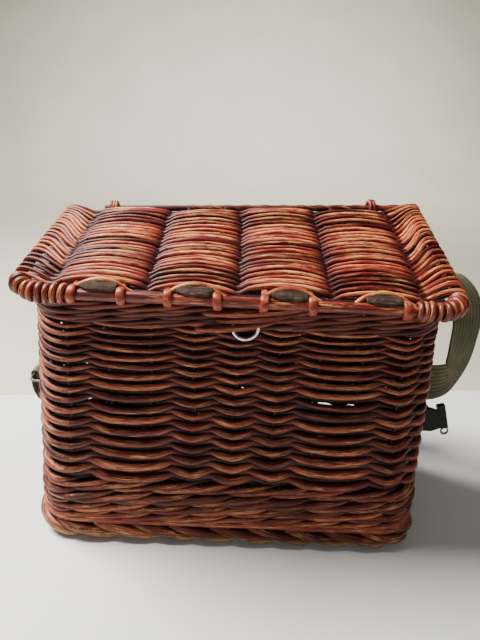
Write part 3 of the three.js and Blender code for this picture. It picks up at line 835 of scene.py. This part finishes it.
def add_edge_stick():
    """The thick front rod, which bends round both corners and runs back along the ends."""
    rods = Rods()
    run = np.linspace(0, 170 * mm, 40)
    left = np.array([edge_stick(r, -1)[0] for r in run])
    right = np.array([edge_stick(r, 1)[0] for r in run])
    front = on_lid(np.linspace(left[-1, 0], right[-1, 0], 30), front_rod_y, 0.0)
    line = np.vstack([left, front[1:-1], right[::-1]])
    size = np.interp(np.abs(line[:, 0]), (0.13, 0.15), (front_rod_radius * 1.08, STICK_RADIUS))
    knots = np.arange(0, len(line), 6)
    uneven = np.interp(np.arange(len(line)), knots, chance.normal(0, 0.03, len(knots)))
    rods.add(line, size * (1 + uneven), 0.75, 0.35)
    rods.build("lid_edge_stick", 14, rod_willow, "lid", "pale_willow", "lid_front_rod")


# Where the corner's weavers lie along the stick, from the start of its turn
CORNER_WRAPS = np.linspace(8, 47, 9) * mm
CORNER_WRAP_RADIUS = 2.2 * mm


def add_corner_wraps():
    """Weavers wound tightly round the stick where it turns the lid's front corners."""
    rods = Rods()
    for side in (-1, 1):
        for run in stick_straight + CORNER_WRAPS:
            centre, out = edge_stick(run + chance.normal(0, 0.8 * mm), side)
            thick = CORNER_WRAP_RADIUS * (1 + chance.normal(0, 0.1))
            wrap = front_rod_radius + thick - 0.3 * mm
            line = turn_round(centre, out, wrap, np.linspace(165, -150, 20) + chance.normal(0, 8))
            slant = np.cross(out, UP) * np.linspace(-1.4, 1.4, 20)[:, None] * mm
            rods.add(line + slant, thick, 0.85)
    rods.build("corner_wraps", 10, rod_willow, "lid", "willow")


WRAP_WIDTHS = ((0, 4, 12, 23), (4.6, 6.0, 6.6, 5.4))  # at these points of the line, in mm
WRAP_THICKNESS = 3.2 * mm


def add_wraps():
    """Flat stake ends that come over the front rod and tuck up behind it."""
    ring = front_rod_radius + 1.7 * mm
    angle = np.radians(np.linspace(128, -150, 22))
    y = front_rod_y - ring * np.cos(angle) * 0.98
    for name, x in zip(wraps, wrap_x):
        start = on_lid(x, front_rod_y + np.array([15, 9]) * mm, 2.6 * mm)
        loop = np.stack([np.full_like(y, x), y,
                         lid_height(x, front_rod_y) + ring * np.sin(angle)], axis=1)
        line = np.vstack([start, loop])
        line[:, 0] += np.linspace(-0.8, 0.8, len(line)) * mm * chance.choice([-1, 1])
        across = np.tile([1.0, 0, 0], (len(line), 1))
        width = np.interp(np.arange(len(line)), *WRAP_WIDTHS) * mm
        mesh = sweep(name + "_stake", line, across, width, WRAP_THICKNESS, wrap_willow, corner=0.75)
        dress(mesh, name + "_stake", "lid", "pale_willow", name)


def add_brows():
    """Weavers that arch over the tongues, from one wrap to the next."""
    rods = Rods()
    f = np.linspace(0, 1, 14)
    rise = np.sin(np.pi * np.clip(f * 1.05, 0, 1)) ** 0.8
    for name in tongues:
        half = half_size(name)[0]
        place = middle(name)[0] - half - 7 * mm + (2 * half + 17 * mm) * f
        rods.add(on_lid(place, front_rod_y + (4.0 + 3.2 * rise) * mm, (1.0 + 6.6 * rise) * mm),
                 2.3 * mm * (0.75 + 0.25 * rise), 1.0, 0.95)
    rods.build("tongue_brows", 10, pale_willow, "lid", "pale_willow")


# A tongue's section: shares of its width across the rod, and of its height
TONGUE_SECTION = ((-0.5, -0.5), (-0.56, 0.1), (-0.3, 0.5), (0.3, 0.56), (0.5, 0.2), (0.5, -0.5))
TONGUE_WIDTH, TONGUE_HEIGHT = 8.6 * mm, 3.6 * mm


def add_tongues():
    """Cut stake ends: split, flat below and rough above, with one end cut on a slant."""
    across, up = np.transpose(TONGUE_SECTION)
    f = np.linspace(0, 1, 14)[:, None]
    full = np.minimum(1, 0.45 + 2.2 * f) * np.minimum(1, 0.8 + 1.6 * (1 - f))
    y = front_rod_y + 1.5 * mm + across * TONGUE_WIDTH * full
    smooth_lift = front_rod_radius + 2.2 * mm + up * TONGUE_HEIGHT * np.minimum(1, full + 0.1)
    for name in tongues:
        low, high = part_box(name)
        lift = smooth_lift + chance.normal(0, 0.12 * mm, smooth_lift.shape)
        mesh = tube(name + "_cut", on_lid(low[0] + (high[0] - low[0]) * f, y, lift), cut_wood)
        piece = dress(mesh, name + "_cut", "lid", "cut_wood", name)
        bevel = piece.modifiers.new("Bevel", "BEVEL")
        bevel.width = 0.5 * mm
        bevel.segments = 2


def add_back_rod():
    """The hinge's rod: plain at the left, and twisted from two strands from there on."""
    rods = Rods()
    count = 90
    low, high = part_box("lid_back_rod")
    x = np.linspace(low[0] + 24 * mm, high[0] - 2 * mm, count)
    core = on_lid(x, hinge_y, 0.8 * mm)
    rods.add(core, back_rod_radius * 0.8, 0.7, 0.1)
    twist_start = (-0.07, -0.05)
    reach = np.interp(x, twist_start, (0.0, 1.75 * mm))
    size = np.interp(x, twist_start, (1.0 * mm, 1.85 * mm))
    for strand in range(2):
        twist = np.linspace(-0.35, 1, count) * 2 * np.pi * 6 + strand * np.pi
        line = core + np.stack([0 * x, reach * np.cos(twist), reach * np.sin(twist)], axis=1)
        rods.add(line, size, 0.85, 0.3)
    rods.build("twisted_back_rod", 9, wall_willow, "lid", "willow", "lid_back_rod")


def add_hinge_ties():
    """Thin strands wound round the back rod and the rim border."""
    for name, turns, size in (("hinge_tie_left", 3, 1.5 * mm), ("hinge_tie_right", 2, 2.0 * mm)):
        rods = Rods()
        x = middle(name)[0]
        x += math.copysign(5 * mm, x)
        top = lid_height(x, hinge_y)
        low_radius = RIM_RADIUS + 0.4 * mm + size
        high_radius = back_rod_radius + 1.6 * mm + size
        angle = np.linspace(0, 2 * np.pi * turns, 40 * turns)
        radius = low_radius + (high_radius - low_radius) * (1 + np.sin(angle)) / 2
        centre = top - rim_drop * (1 - np.clip(np.sin(angle) * 2.2, -1, 1)) / 2
        half = half_size(name)[0] - size
        line = np.stack([x + np.linspace(-half, half, len(angle)), hinge_y + radius * np.cos(angle),
                         centre + radius * np.sin(angle)], axis=1)
        rods.add(line, size, 0.75, 0.4)
        rods.build(name + "_strands", 8, lid_willow, "basket", "willow", name)


def make_wrap_willow():
    """The stain of the flat wraps: patches and fine streaks."""
    finish = Finish("willow of the wraps", 0.36, coat=0.06, gloss=0.3)
    place = finish.object_place()
    patch = finish.noise(place, 160.0, 4.0)
    streak = finish.noise(place, 700.0, 3.0)
    colour = finish.ramp(patch * 0.7 + streak * 0.3, (0.35, (0.085, 0.01, 0.007)),
                         (0.52, (0.27, 0.038, 0.016)), (0.7, (0.52, 0.2, 0.065)))
    finish.feed(base_color=colour, normal=finish.bump(streak, 0.4, 0.4 * mm))
    return finish.material


def make_cut_wood():
    """Weathered end wood: grey-brown, with fine splits along the stake."""
    finish = Finish("weathered cut wood", 0.75, gloss=0.12)
    place = finish.object_place()
    stretched = finish.add("ShaderNodeMapping", {}, {"Vector": place, "Scale": (120, 700, 700)})
    grain = finish.noise(stretched, 1.0, 5.0, 0.65)
    blotch = finish.noise(place, 150.0, 3.0)
    colour = finish.ramp(grain * 0.6 + blotch * 0.4, (0.38, (0.012, 0.007, 0.006)),
                         (0.54, (0.045, 0.024, 0.017)), (0.72, (0.15, 0.09, 0.064)))
    finish.feed(base_color=colour, normal=finish.bump(grain, 0.9, 0.7 * mm))
    return finish.material


wrap_willow = make_wrap_willow()
cut_wood = make_cut_wood()
weave_lid()
add_lid_stakes()
add_edge_stick()
add_corner_wraps()
add_wraps()
add_brows()
add_tongues()
add_back_rod()
add_hinge_ties()

# Strap

SLOT_HEIGHT = 128 * mm
SLOT_BACK = 8 * mm
STRAP_WIDTH = 38 * mm
STRAP_THICKNESS = 2.4 * mm
STRAP_FOLD = 26 * mm
GATHERED_WIDTH = 27 * mm
# Its middle line, from the slot to the ring: x, y and z are shares of the foot's half width, the
# foot's half depth and the slot's height, and the last three columns say which way its width points
STRAP_ROUTE = (
    (0.901, 0.104, 1, 0, 0, 1),
    (0.983, 0.104, 1, 0, 0, 1),
    (1.07, 0.104, 1, 0, 0, 1),
    (1.151, 0.13, 1, -0.03, -0.05, 1),
    (1.221, 0.195, 1.016, -0.15, -0.15, 1),
    (1.265, 0.26, 1.078, -0.5, -0.35, 0.75),
    (1.285, 0.286, 1.18, -0.8, -0.45, 0.35),
    (1.291, 0.299, 1.312, -0.88, -0.45, 0.08),
    (1.291, 0.312, 1.461, -0.9, -0.42, 0),
    (1.273, 0.364, 1.602, -0.9, -0.4, 0),
    (1.233, 0.468, 1.703, -0.93, -0.35, 0),
    (1.18, 0.636, 1.758, -0.98, -0.18, 0),
    (1.145, 0.805, 1.727, -1, 0, 0),
    (1.122, 0.974, 1.602, -1, 0, 0),
    (1.087, 1.104, 1.406, -0.97, 0.25, 0),
    (1.029, 1.234, 1.164, -0.75, 0.65, 0),
    (0.93, 1.312, 0.898, -0.35, 0.93, 0),
    (0.77, 1.34, 0.623, -0.05, 1, 0),
    (0.53, 1.34, 0.408, 0, 1, 0),
    (0.27, 1.34, 0.283, 0, 1, 0),
    (0, 1.34, 0.244, 0, 1, 0),
    (-0.27, 1.34, 0.266, 0, 1, 0),
    (-0.53, 1.34, 0.351, 0, 1, 0),
    (-0.77, 1.33, 0.453, 0.05, 1, 0),
    (-0.95, 1.22, 0.498, 0.2, 0.95, 0.1),
    (-1.08, 0.97, 0.532, 0.25, 0.95, 0.15),
    (-1.14, 0.66, 0.589, 0.1, 1, 0.1),
    (-1.16, 0.42, 0.68, 0.03, 1, 0),
)


def make_webbing():
    """Olive webbing: lengthwise ribs, cross threads, faded patches and rust marks."""
    finish = Finish("olive webbing", 0.9, sheen=0.08, gloss=0.2)
    ribs, thread_pitch = 9, 1.3 * mm
    across, along, _ = finish.apart(finish.add("ShaderNodeUVMap", {"uv_map": "UVMap"}))
    rib = (across * (ribs * math.pi)).wave().size() ** 0.6
    thread = (along * (2 * math.pi / thread_pitch)).wave() * 0.5 + 0.5
    place = finish.object_place()
    fade = finish.noise(place, 22.0, 4.0)
    fuzz = finish.noise(place, 900.0, 3.0)
    tone = rib * 0.24 + fade * 0.62 + fuzz * 0.25 + thread * 0.08
    colour = finish.ramp(tone, (0.34, (0.022, 0.019, 0.01)), (0.62, (0.084, 0.074, 0.04)),
                         (0.86, (0.22, 0.19, 0.11)))
    rust = finish.noise(place, 60.0, 2.0).within(0.66, 0.72)
    colour = finish.mix(rust * 0.7, colour, (0.16, 0.055, 0.022))
    height = rib * 0.7 + thread * 0.2 + fuzz * 0.2
    finish.feed(base_color=colour, normal=finish.bump(height, 0.8, 0.6 * mm))
    return finish.material


def make_metal(name, dull, bright, metallic, roughness, scale, depth, gloss=0.4):
    """Metal or lacquer with marks and small dents."""
    finish = Finish(name, roughness, metallic, gloss=gloss)
    marks = finish.noise(finish.object_place(), scale, 4.0)
    colour = finish.ramp(marks, (0.38, dull), (0.62, bright))
    finish.feed(base_color=colour, roughness=marks * 0.3 + (roughness - 0.1),
                normal=finish.bump(marks, 0.3, depth))
    return finish.material


webbing = make_webbing()
white_metal = make_metal("white metal", (0.5, 0.49, 0.46), (0.8, 0.8, 0.79),
                         1.0, 0.26, 260, 0.1 * mm)
dark_wire = make_metal("tarnished wire", (0.05, 0.038, 0.028), (0.2, 0.17, 0.13),
                       0.9, 0.45, 420, 0.15 * mm)
black_lacquer = make_metal("black lacquer", (0.003, 0.003, 0.003), (0.009, 0.009, 0.009),
                           0.0, 0.42, 300, 0.2 * mm, 0.18)


def add_strap():
    """The strap from its slot round the back, over the wire ring's bar and folded back down."""
    scale = np.array([foot_half[0], foot_half[1], SLOT_HEIGHT, 1, 1, 1])
    route = np.array(STRAP_ROUTE) * scale
    route[:3, 1] = SLOT_BACK
    ring_x, bar_y, bar_z = middle("strap_ring")
    half_x, half_y, wire = half_size("strap_ring")
    bar_x = ring_x - half_x + wire
    turn = wire + CLEARANCE + STRAP_THICKNESS / 2
    rows = [[bar_x - turn, bar_y, bar_z - (half_y - wire) / 2, 0, 1, 0]]
    for angle in np.radians(np.linspace(180, 0, 9)):
        rows.append([bar_x + turn * math.cos(angle), bar_y, bar_z + turn * math.sin(angle),
                     0, 1, 0])
    rows.append([bar_x + turn, bar_y, bar_z - STRAP_FOLD, 0, 1, 0])
    path = np.vstack([smooth_line(route, 7)[:-1], smooth_line(np.vstack([route[-1:], rows]), 4)])
    gathered = np.clip((np.arange(len(path)) - len(path) + 75) / 30, 0, 1)
    path[:, 1] += (STRAP_WIDTH - GATHERED_WIDTH) / 2 * gathered
    width = STRAP_WIDTH - (STRAP_WIDTH - GATHERED_WIDTH) * gathered
    mesh = sweep("webbing_strap", path[:, :3], path[:, 3:], width, STRAP_THICKNESS, webbing,
                 corner=0.3, around=20)
    dress(mesh, "webbing_strap", "basket", "webbing", "strap")


def wire_ring(name, line, radius, finish, slot, *stands_for):
    rods = Rods()
    rods.add(line, radius, 1.0, 0.5, closed=True)
    rods.build(name, 12, finish, "basket", slot, *stands_for)


def add_rings():
    """A squarish ring that lies flat for the strap, and two upright round ones."""
    t = np.linspace(0, 2 * np.pi, 64, endpoint=False)
    centre, half = middle("strap_ring"), half_size("strap_ring")
    wire = half[2]
    across, along = (np.sign(v) * np.abs(v) ** 0.35 for v in (np.cos(t), np.sin(t)))
    line = centre + np.stack([(half[0] - wire) * across, (half[1] - wire) * along, 0 * t], axis=1)
    wire_ring("strap_wire_ring", line, wire, dark_wire, "dark_wire", "strap_ring")
    for name, finish, slot in (("front_ring", white_metal, "white_metal"),
                               ("buckle_ring", dark_wire, "dark_wire")):
        centre, half = middle(name), half_size(name)
        wire = half[1] * (1.25 - 0.35 * np.sin(t))
        line = centre + np.stack([(half[0] - wire) * np.cos(t), 0 * t,
                                  (half[2] - wire) * np.sin(t)], axis=1)
        wire_ring(name + "_wire", line, wire, finish, slot, name)


add_strap()
add_rings()
# These stay as the CAD has them, with their own materials
for name, finish in (("ring_staple", dark_wire), ("buckle_tab", webbing),
                     ("buckle_plate", black_lacquer), ("buckle_bar", black_lacquer)):
    mesh = frame["nodes"][name].data
    mesh.materials.clear()
    mesh.materials.append(finish)

# Floor, backdrop and light


def paint(name, low, high, roughness):
    finish = Finish(name, roughness)
    colour = finish.ramp(finish.noise(finish.object_place(), 3.0, 3.0), (0.3, low), (0.7, high))
    finish.feed(base_color=colour)
    return finish.material


def stage_sheet(name, left, right, material):
    """A sheet between two rows of points, one down each side of the room."""
    mesh = bpy.data.meshes.new(name)
    count = len(left)
    faces = [(i, count + i, count + i + 1, i + 1) for i in range(count - 1)]
    mesh.from_pydata(left + right, [], faces)
    mesh.materials.append(material)
    mesh.shade_smooth()
    put_in(name, mesh)


def area_light(name, place, target, size, power, colour, spread=180):
    data = bpy.data.lights.new(name, "AREA")
    data.spread = math.radians(spread)
    data.shape = "RECTANGLE"
    data.size, data.size_y = size
    data.energy = power
    data.color = colour
    light = put_in(name, data)
    light.location = place
    light.rotation_euler = (Vector(target) - Vector(place)).to_track_quat("-Z", "Y").to_euler()


# The floor ends behind the basket in a line that is a little slanted, as in the photograph
ROOM = 4.0
FLOOR_END = 0.2
FLOOR_TURN = 0.118
floor_paint = paint("pale floor", (0.74, 0.74, 0.725), (0.79, 0.79, 0.775), 0.7)
wall_paint = paint("pale backdrop", (0.53, 0.495, 0.405), (0.575, 0.54, 0.44), 0.8)


def lay_stage():
    """A pale floor, and behind it a backdrop that starts flat and curves up far away."""
    ends = [(side * ROOM, FLOOR_END + FLOOR_TURN * side * ROOM, 0) for side in (-1, 1)]
    stage_sheet("floor", [(-ROOM, -ROOM, 0), ends[0]], [(ROOM, -ROOM, 0), ends[1]], floor_paint)
    half = ROOM / 2
    curve = [(half * (1 + math.sin(angle)), half * (1 - math.cos(angle)))
             for angle in np.linspace(0, math.pi / 2, 25)]
    curve.append((ROOM, 0.75 * ROOM))
    rows = [[end] + [(end[0], y, z) for y, z in curve] for end in ends]
    stage_sheet("backdrop", rows[0], rows[1], wall_paint)


lay_stage()
area_light("ceiling light", (-0.8, 0.15, 1.3), (0, 0, 0.1), (0.7, 0.6), 80, (1.0, 0.98, 0.945))
area_light("front fill", (-0.4, -1.8, 0.9), (0, 0, 0.15), (1.6, 1.2), 4.5, (1.0, 0.95, 0.88))
area_light("backdrop light", (0, 2.0, 2.6), (0, 3.2, 0), (3, 1), 80, (1.0, 0.98, 0.93), 110)

world = bpy.data.worlds.new("room light")
world.use_nodes = True
background = world.node_tree.nodes["Background"]
background.inputs["Color"].default_value = (0.95, 0.97, 1.0, 1)
background.inputs["Strength"].default_value = 0.15
bpy.context.scene.world = world
